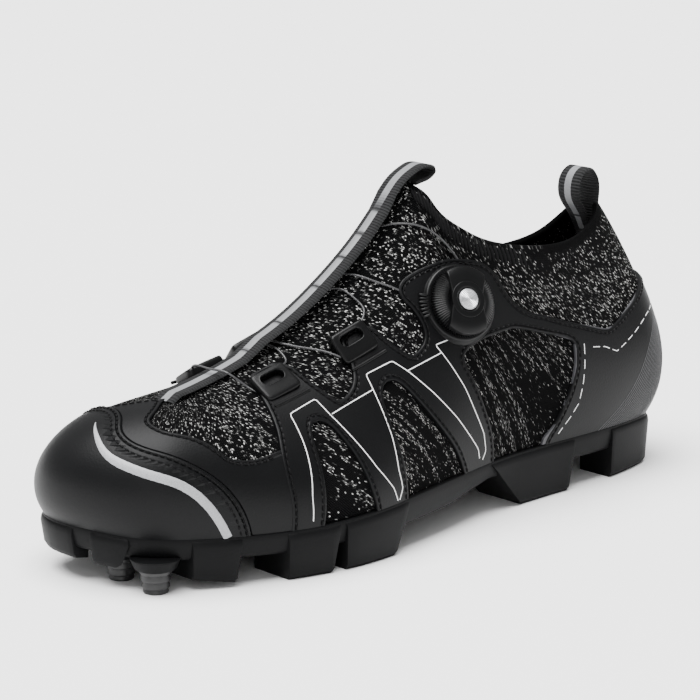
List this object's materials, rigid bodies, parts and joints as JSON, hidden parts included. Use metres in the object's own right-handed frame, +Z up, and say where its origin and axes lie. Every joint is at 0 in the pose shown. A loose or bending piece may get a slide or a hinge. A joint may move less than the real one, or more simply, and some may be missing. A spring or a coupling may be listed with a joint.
{
  "type": "cycling shoe",
  "caption": "Left off-road cycling shoe: knit sock upper with coated side panels, lace dial, pull loops and a lugged rubber sole with toe studs.",
  "frame": {"origin": "on the floor, under the middle of the shoe's bounding box", "axes": "+X from toe to heel, -Y towards the lateral (outer) side, +Z up; toe towards -X"},
  "size_m": [0.2923, 0.0978, 0.1335],
  "materials": {
    "knit": "dense black knit, matt",
    "panel": "black coated sheet, satin",
    "rubber": "black moulded rubber, matt",
    "stud": "dark coated steel",
    "plastic": "black moulded plastic, satin gloss",
    "webbing": "black ribbed webbing with a grey middle stripe",
    "foam": "dark fabric-covered foam board",
    "silver": "plain satin silver disc",
    "cable": "dark coated lace wire"
  },
  "bodies": {
    "root": {"knit_upper": "knit", "toe_cap": "panel", "vamp_panel": "panel", "lateral_side_panel": "panel", "medial_side_panel": "panel", "heel_counter_panel": "panel", "outsole": "rubber", "toe_stud_lateral": "stud", "toe_stud_medial": "stud", "insole": "foam", "lace_guide_lateral_front": "plastic", "lace_guide_lateral_rear": "plastic", "lace_guide_medial_front": "plastic", "lace_guide_medial_middle": "plastic", "lace_guide_medial_rear": "plastic", "dial_seat": "plastic", "dial_knob": "plastic", "dial_cap": "silver", "front_pull_strip": "webbing", "heel_pull_loop": "webbing", "lace_crossing_toe": "cable", "lace_crossing_front": "cable", "lace_crossing_middle_front": "cable", "lace_crossing_middle_rear": "cable", "lace_crossing_rear": "cable", "lace_crossing_dial": "cable"}
  },
  "joints": []
}
